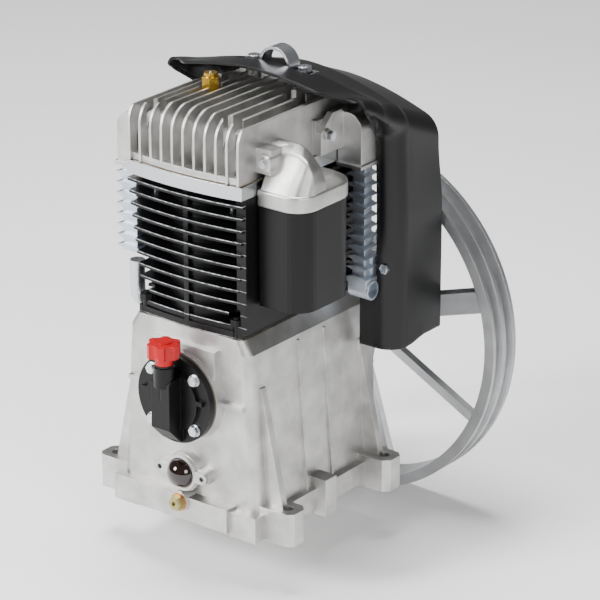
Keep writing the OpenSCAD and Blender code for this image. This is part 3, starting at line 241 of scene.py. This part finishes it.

# %% [markdown]
# The cylinder block is cast iron under black enamel. A painted highlight, a bright and partly
# metallic line, is laid along the upper edge of each fin's rim on the front of the block, and a
# noise makes it patchy. The faces that look sideways on a fin are its rim, so the painted
# highlight goes where the surface faces away from up and down.

# %% Black enamel with a painted highlight on the fin edges
black_iron, tree, place = start("black_enamel_on_iron")
turned = add(tree, "ShaderNodeSeparateXYZ",
             {0: add(tree, "ShaderNodeTexCoord").outputs["Normal"]}).outputs[2]
flat = add(tree, "ShaderNodeMath", {0: turned}, operation="ABSOLUTE").outputs[0]
where = add(tree, "ShaderNodeSeparateXYZ", {0: place}).outputs
FIN_FRONT_Y = -100.0
front = add(tree, "ShaderNodeMapRange", {0: where[1], 1: FIN_FRONT_Y - 1.0, 2: FIN_FRONT_Y + 1.0,
                                         3: 1.0, 4: 0.0}).outputs[0]
upright = add(tree, "ShaderNodeMapRange", {0: flat, 1: 0.2, 2: 0.3, 3: 1.0, 4: 0.0}).outputs[0]
# sideways-facing faces at the front of the block, where the painted highlight goes
rim = add(tree, "ShaderNodeMath", {0: upright, 1: front}, operation="MULTIPLY").outputs[0]
# the pitch of the fins, and the height where the pattern of their upper edges starts
FIN_STEP = 13.308
FIRST_FIN_TOP = 244.908
below = add(tree, "ShaderNodeMath", {0: FIRST_FIN_TOP, 1: where[2]}, operation="SUBTRACT")
up_step = add(tree, "ShaderNodeMath", {0: below.outputs[0], 1: FIN_STEP},
              operation="FLOORED_MODULO").outputs[0]
top_line = add(tree, "ShaderNodeMapRange", {0: up_step, 1: 0.6, 2: 1.0, 3: 1.0, 4: 0.0}).outputs[0]
rim = add(tree, "ShaderNodeMath", {0: rim, 1: top_line}, operation="MULTIPLY").outputs[0]
# a noise that makes the painted highlight on the fin edges patchy
painted_highlight_noise = add(tree, "ShaderNodeMapRange",
           {0: grit(tree, place, 5.0), 1: 0.35, 2: 0.65, 3: 0.25, 4: 1.0}).outputs[0]
# the painted highlight mask: front fin edges near the top of each fin, broken by the noise
painted_highlight_mask = add(tree, "ShaderNodeMath", {0: rim, 1: painted_highlight_noise}, operation="MULTIPLY").outputs[0]
# C6C9CC is the painted highlight colour, mixed over the black enamel #08080A
enamel = add(tree, "ShaderNodeMix", {0: painted_highlight_mask, 6: linear("#08080A"), 7: linear("#C6C9CC")},
             data_type="RGBA").outputs[2]
# the painted highlight is also made partly metallic
metal = add(tree, "ShaderNodeMapRange", {0: painted_highlight_mask, 1: 0.0, 2: 1.0, 3: 0.0, 4: 0.6}).outputs[0]
close(black_iron, tree, Base_Color=enamel, Metallic=metal, Roughness=0.42,
      Specular_IOR_Level=0.25, Normal=relief(tree, grit(tree, place, 1.2, 3.0), 0.1, 0.6))

# %% [markdown]
# The cowl, the filter barrel and the front cover are moulded in black plastic. The cowl is
# smooth with a soft gloss. The other two came from a mould with a fine spark-eroded
# grain, so they look a little duller.

# %% Black and red plastic


def moulding(name, colour, roughness, grain_mm, depth_mm, coat=0.0, shine=0.5):
    """A moulded plastic with a grain of grain_mm by depth_mm. shine is 0.5 on bare plastic."""
    made, tree, place = start(name)
    grain = grit(tree, place, grain_mm)
    return close(made, tree, Base_Color=linear(colour), Roughness=roughness, IOR=1.5,
                 Specular_IOR_Level=shine, Coat_Weight=coat,
                 Normal=relief(tree, grain, depth_mm, 0.8))


cowl_plastic = moulding("black_moulded_plastic", "#08080A", 0.34, 2.2, 0.02, shine=0.32)
grained_plastic = moulding("grained_black_plastic", "#060607", 0.40, 0.9, 0.14, shine=0.26)
red_plastic = moulding("red_moulded_plastic", "#B00510", 0.34, 1.5, 0.02, shine=0.3)
rubber = moulding("black_rubber", "#151515", 0.7, 1.0, 0.03)
gasket = moulding("fibre_gasket", "#6E6450", 0.85, 0.8, 0.05)
filter_paper = moulding("pleated_filter_paper", "#CFC39B", 0.8, 1.2, 0.05)

# %% [markdown]
# Screws, washers and the strap are steel with a thin zinc plating, which is bright with a
# faint blue. The drain plug is zinc plated and then passivated to a pale yellow. Ground
# shafts and bearings are bare steel. The relief valve is turned from brass bar.

# %% Plated, ground and turned metals


def plain_metal(name, colour, roughness, edge_mm=0.3):
    """A bare or plated metal with faint marks of the tool, about half a millimetre apart."""
    made, tree, place = start(name)
    marks = grit(tree, place, 0.5)
    gloss = add(tree, "ShaderNodeMapRange", {0: marks, 1: 0.35, 2: 0.65, 3: roughness - 0.05,
                                             4: roughness + 0.05}).outputs[0]
    return close(made, tree, Base_Color=linear(colour), Metallic=1.0, Roughness=gloss,
                 Normal=relief(tree, marks, 0.01, edge_mm))


zinc = plain_metal("zinc_plated_steel", "#C9CCD0", 0.28)
yellow_zinc = plain_metal("yellow_zinc_plated_steel", "#A59A6C", 0.32)
ground_steel = plain_metal("ground_steel", "#B9BBBE", 0.22)
brass = plain_metal("turned_brass", "#BE9A3C", 0.28)
copper = plain_metal("soft_copper", "#C98A63", 0.35)

# %% [markdown]
# The sight glass is a clear dome with dark oil behind it. Seen from outside it is a glossy
# dark brown that glows a little amber where it is thin, so an opaque brown under a clear
# coat gives the same look and survives an export.

# %% Sight glass
amber_glass, tree, place = start("amber_sight_glass")
close(amber_glass, tree, Base_Color=linear("#1A0D06"), Roughness=0.08, IOR=1.5,
      Coat_Weight=0.6, Coat_Roughness=0.03,
      Normal=relief(tree, grit(tree, place, 6.0), 0.05, 0.3))

# %% [markdown]
# Every solid gets the finish of its real material. The record lists the material slot of
# each one, so the finishes are handed out slot by slot.

# %% Hand out the finishes
FINISHES = {
    "cast_aluminium": cast_aluminium, "cooler_aluminium": cooler_aluminium,
    "black_cast_iron": black_iron, "cast_iron": grey_iron, "black_plastic": grained_plastic,
    "red_plastic": red_plastic, "steel": ground_steel, "zinc_steel": zinc,
    "yellow_zinc_steel": yellow_zinc, "brass": brass, "copper_washer": copper,
    "gasket_paper": gasket, "rubber": rubber, "amber_glass": amber_glass,
    "filter_paper": filter_paper,
}
slots = {part["node"]: part["material_slot"] for part in frame["record"]["subparts"]}


def dress(obj, finish):
    """Gives every face of obj one finish."""
    obj.data.materials.clear()
    obj.data.materials.append(finish)


for name, solid in nodes.items():
    dress(solid, FINISHES[slots[name]])
dress(nodes["cowl"], cowl_plastic)
print("finishes handed out to", len(nodes), "solids")

# %% [markdown]
# The castings and mouldings with curved skins are built here as surfaces. Each one is a
# grid of points worked out in whole numpy arrays, so its formula can be read and changed,
# and the mesh is only the grid's squares. A grid closes on itself where the real skin does.

# %% Surface helpers


def piece(name, points, faces, finish, body="machine", stands_for=()):
    """A mesh object from points in mm and faces, with its finish and body."""
    mesh = bpy.data.meshes.new(name)
    mesh.from_pydata((np.asarray(points) * MM).tolist(), [], [tuple(f) for f in faces])
    mesh.update()
    made = bpy.data.objects.new(name, mesh)
    bpy.context.collection.objects.link(made)
    dress(made, finish)
    mesh.polygons.foreach_set("use_smooth", [True] * len(mesh.polygons))
    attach(made, body)
    if stands_for:
        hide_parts(*stands_for)
    print(name, "has", len(mesh.polygons), "faces")
    return made


def grid_faces(rows, columns, close_rows=False, close_columns=False, first=0):
    """Squares between neighbours of a rows by columns grid of points, as an array."""
    i, j = np.meshgrid(np.arange(rows if close_rows else rows - 1),
                       np.arange(columns if close_columns else columns - 1), indexing="ij")
    down, across = (i + 1) % rows, (j + 1) % columns
    quads = np.stack([i * columns + j, i * columns + across, down * columns + across,
                      down * columns + j], axis=-1)
    return quads.reshape(-1, 4) + first


def smooth_step(t):
    """0 below 0, 1 above 1, and 3t^2 - 2t^3 between."""
    t = np.clip(t, 0.0, 1.0)
    return t * t * (3.0 - 2.0 * t)


def shell(obj, wall_mm, rim_mm=0.0):
    """Gives a skin its wall, inwards, and rounds the rim."""
    wall = obj.modifiers.new("wall", "SOLIDIFY")
    wall.thickness = wall_mm * MM
    wall.offset = -1.0
    if rim_mm:
        rim = obj.modifiers.new("rim", "BEVEL")
        rim.width = rim_mm * MM
        rim.segments = 3
        rim.limit_method = "ANGLE"
        rim.angle_limit = math.radians(50)


# %% [markdown]
# The cowl is one moulding that catches the air of the flywheel and turns it over the
# coolers and the head. Its plan starts at a flange that is bolted to the coolers, runs
# round a corner of 20 mm and back along the side. Higher up, the same lines sweep
# forward into a lip over the head, so the whole skin is one grid: s runs from the front
# edge to the rear edge, and t climbs the wall, turns the shoulder and crosses the roof.
# The lip's corners are cut back, and a shallow tray in the roof takes the lifting strap.

# %% Cowl
COWL_HALF = 130.0
COWL_FACE_Y = 80.0
COWL_REAR_Y = 160.0
COWL_CORNER = 20.0
COWL_FOOT_Z = 161.0
TRAY_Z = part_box("lifting_strap")[0][2] / MM


def cowl_lines(s):
    """Along s: the plan's (x, y) low down, and the roof line's y, height, crown and corner.

    The plan is a straight flange for s < 0.2, a quarter circle for s < 0.45 and then
    straight. The roof line's height is linear between the stations named below.
    """
    turn = np.clip((s - 0.2) / 0.25, 0.0, 1.0) * math.pi / 2
    back = np.clip((s - 0.45) / 0.55, 0.0, 1.0)
    corner_x = COWL_HALF - COWL_CORNER
    low_y = (COWL_FACE_Y + COWL_CORNER * (1.0 - np.cos(turn))
             + back * (COWL_REAR_Y - COWL_FACE_Y - COWL_CORNER))
    low_x = corner_x + COWL_CORNER * np.sin(turn)
    top_y = np.interp(s, [0.0, 0.2, 0.36, 0.45, 1.0], [3.0, 50.0, 92.0, 105.0, COWL_REAR_Y])
    height = np.interp(top_y, [3, 50, 97, 103, 160], [466.5, 462, 450, 446, 423])
    crown = np.interp(top_y, [3, 50, 100, 160], [20, 25, 31, 31])
    corner = np.interp(top_y, [3, 12, 50, 105, 160], [6, 9, 16, 22, 24])
    half = np.interp(top_y, [3, 50, 100, 160], [127.0, 128.5, 127.0, 124.0])
    return low_x, low_y, top_y, height, crown, corner, half


def cowl_skin(rows=110, wall=56, turns=14, roof=64):
    """The right half of the skin as a (rows, columns, 3) array, from foot to middle."""
    s = np.linspace(0.0, 1.0, rows)[:, None]
    low_x, low_y, top_y, height, crown, corner, half = cowl_lines(s)
    lean = np.arctan(1.7 * crown / half * 0.93)
    start_x = half - corner * (1.0 - np.sin(lean))
    start_z = height - crown * (start_x / half) ** 1.7
    middle_x = start_x - corner * np.sin(lean)
    middle_z = start_z - corner * np.cos(lean)
    # wall: z climbs to the shoulder, and the plan sweeps from the low line to the top one
    t = np.linspace(0.0, 1.0, wall)[None, :]
    z = COWL_FOOT_Z + 5.0 * smooth_step((s - 0.4) * 3.0) + t * 0.0
    z = z + (middle_z - z) * t
    sweep = np.clip((z - 398.0) / (middle_z - 398.0), 0.0, 1.0) ** 1.15
    flange = np.clip(1.0 - s / 0.2, 0.0, 1.0)
    reach = 2.0 + 21.0 * smooth_step((222.0 - z) / 4.0)
    draft = (COWL_HALF - half) * smooth_step((z - 300.0) / (middle_z - 300.0))
    wall_x = (low_x - reach * flange) * (1.0 - sweep) + COWL_HALF * sweep - draft
    cut = 24.0 * (1.0 - smooth_step(s / 0.3))
    wall_y = low_y * (1.0 - sweep) + (top_y + cut) * sweep
    # shoulder: an arc from the wall's direction to the roof's
    a = np.linspace(0.0, 1.0, turns)[None, 1:]
    angle = math.pi / 2 - a * (math.pi / 2 - lean)
    arc_x = middle_x + corner * np.sin(angle)
    arc_z = middle_z + corner * np.cos(angle)
    # roof: a parabola from the shoulder to the middle
    r = np.linspace(1.0, 0.0, roof)[None, 1:]
    roof_x = start_x * r
    roof_z = height - crown * (roof_x / half) ** 1.7
    x = np.concatenate([wall_x, arc_x, roof_x], axis=1)
    top_x = np.concatenate([arc_x, roof_x], axis=1)
    y = np.concatenate([wall_y, top_y + cut * smooth_step((top_x - 84.0) / 38.0)], axis=1)
    z = np.concatenate([z, arc_z, roof_z], axis=1)
    inside = (smooth_step((49.0 - x) / 3.0) * smooth_step((13.0 - np.abs(y - 52.0)) / 3.0)
              * (z > 430.0))
    z = z + np.minimum(TRAY_Z - z, 0.0) * inside
    return np.stack([x, y, z], axis=-1)


half_skin = cowl_skin()
mirrored = half_skin[:, -2::-1, :] * np.array([-1.0, 1.0, 1.0])
skin = np.concatenate([half_skin, mirrored], axis=1)
cowl = piece("cowl_moulding", skin.reshape(-1, 3), grid_faces(*skin.shape[:2]),
             cowl_plastic, stands_for=["cowl"])
shell(cowl, 3.0, 1.0)

# %% [markdown]
# The filter's cap is one die casting, made here as four skins that run into each other.
# A low band sits on the barrel and rises to a flat deck. A hood stands on it: an arch in
# x that is drawn back along y, with a front that leans from the ridge down to the band.
# A neck joins the hood to the head's intake port, and a lug takes the clamping screw.
# Every corner of a section is rounded by the same curve.

# %% Filter cap
CAP_X0, CAP_X1, CAP_Y0, CAP_Y1 = 75.5, 133.5, -83.5, 9.5
CAP_CORNER = 25.5
BAND_Z = 360.0


def rounded(path, radius, steps=5):
    """A path (points, ..., 3) whose inner corners are cut radius away and rounded.

    Each corner b between a and c is a quadratic curve (1-t)^2 p + 2t(1-t) b + t^2 q, with
    p and q on its two arms.
    """
    out = [path[0]]
    t = np.linspace(0.0, 1.0, steps)[:, None, None]
    for a, b, c in zip(path[:-2], path[1:-1], path[2:]):
        arms = []
        for end in (a, c):
            arm = end - b
            length = np.linalg.norm(arm, axis=-1, keepdims=True) + 1e-6
            arms.append(b + arm / length * np.minimum(radius, 0.45 * length))
        out.extend((1 - t) ** 2 * arms[0] + 2 * t * (1 - t) * b + t ** 2 * arms[1])
    out.append(path[-1])
    return np.array(out)


def cap_ring(inset, count=96):
    """The cap's outline moved in by inset: x and y at even steps of its turning angle.

    A point is the corner circle's centre plus the radius along the angle, with square
    corners on the side of the head.
    """
    a = np.linspace(0.0, 2.0 * math.pi, count, endpoint=False) + math.pi / count
    corner = np.where(np.cos(a) > 0.0, CAP_CORNER, 3.0)
    x = np.where(np.cos(a) > 0.0, CAP_X1 - corner, CAP_X0 + corner) + (corner - inset) * np.cos(a)
    y = np.where(np.sin(a) > 0.0, CAP_Y1 - corner, CAP_Y0 + corner) + (corner - inset) * np.sin(a)
    return np.stack([x, y], axis=-1)


def at_height(ring, z):
    """A ring of (x, y) points lifted to z."""
    return np.concatenate([ring, np.full((len(ring), 1), float(z))], axis=1)


middle = np.array([[104.0, -20.0]])
levels = np.array([at_height(cap_ring(4.0), BAND_Z), at_height(cap_ring(0.0), BAND_Z),
                   at_height(cap_ring(0.0), BAND_Z + 17.0),
                   at_height(middle + 0.55 * (cap_ring(0.0) - middle), BAND_Z + 24.0),
                   at_height(middle + 0.0 * cap_ring(0.0), BAND_Z + 26.0)])
band = rounded(levels, 2.2)
piece("filter_cap_band", band.reshape(-1, 3), grid_faces(*band.shape[:2], close_columns=True),
      cast_aluminium, stands_for=["filter_cap"])

# the hood's arch at the back, its arch at the ridge and its foot on the band, point by point
BACK = [(79, 372), (79, 414), (85, 420.5), (95, 420.5), (104, 418), (112, 413), (124, 401),
        (131, 386), (132.5, 372)]
RIDGE = [(78, 372), (78, 410), (82, 414.5), (100, 415), (115, 414), (124, 409), (129.5, 400),
         (132, 388), (133, 372)]
FOOT = [(78, -70), (78, -82.5), (84, -83.4), (98, -83.4), (108, -83.4), (121.5, -79.7),
        (129.5, -71.5), (133, -62), (133.4, -52)]


def even(points, count=72):
    """Points along a polyline at even steps of its corner number, smoothed a little."""
    points = np.array(points, dtype=float)
    u = np.linspace(0.0, len(points) - 1.0, count)
    line = np.stack([np.interp(u, np.arange(len(points)), points[:, k]) for k in (0, 1)], axis=-1)
    for _ in range(4):
        line[1:-1] = (line[:-2] + 2.0 * line[1:-1] + line[2:]) / 4.0
    return line


back, ridge, foot = even(BACK), even(RIDGE), even(FOOT)
wide = np.ones(len(back))
section = np.stack([np.stack([back[:, 0], -40.0 * wide, 372.0 * wide], axis=-1),
                    np.stack([back[:, 0], -40.0 * wide, back[:, 1]], axis=-1),
                    np.stack([ridge[:, 0], -61.0 * wide, ridge[:, 1]], axis=-1),
                    np.stack([foot[:, 0], foot[:, 1], 374.0 * wide], axis=-1)])
hood = rounded(section, 4.0)
piece("filter_cap_hood", hood.reshape(-1, 3), grid_faces(*hood.shape[:2])[:, ::-1],
      cast_aluminium, stands_for=["filter_cap"])

NECK_Y, NECK_Z = -44.0, 403.0
turn = np.linspace(0.0, 2.0 * math.pi, 40, endpoint=False)
neck = rounded(np.array([np.stack([x + 0.0 * turn, NECK_Y + size * np.cos(turn),
                                   NECK_Z + size * np.sin(turn)], axis=-1)
                         for x, size in ((75.6, 16.0), (90.0, 16.0), (96.0, 0.0))]), 3.0)
piece("filter_cap_neck", neck.reshape(-1, 3), grid_faces(*neck.shape[:2], close_columns=True),
      cast_aluminium, stands_for=["filter_cap"])
lug_x = 7.0 * np.sign(np.cos(turn)) * np.abs(np.cos(turn)) ** 0.55
lug_z = 8.5 * np.sign(np.sin(turn)) * np.abs(np.sin(turn)) ** 0.55
LUG_X, LUG_Z = 84.5, 405.5
lug = rounded(np.array([np.stack([LUG_X + size * lug_x, y + 0.0 * lug_x, LUG_Z + size * lug_z],
                                 axis=-1)
                        for y, size in ((-58.0, 1.0), (-82.0, 1.0), (-82.0, 0.0))]), 1.5)
piece("filter_cap_lug", lug.reshape(-1, 3), grid_faces(*lug.shape[:2], close_columns=True),
      cast_aluminium, stands_for=["filter_cap"])
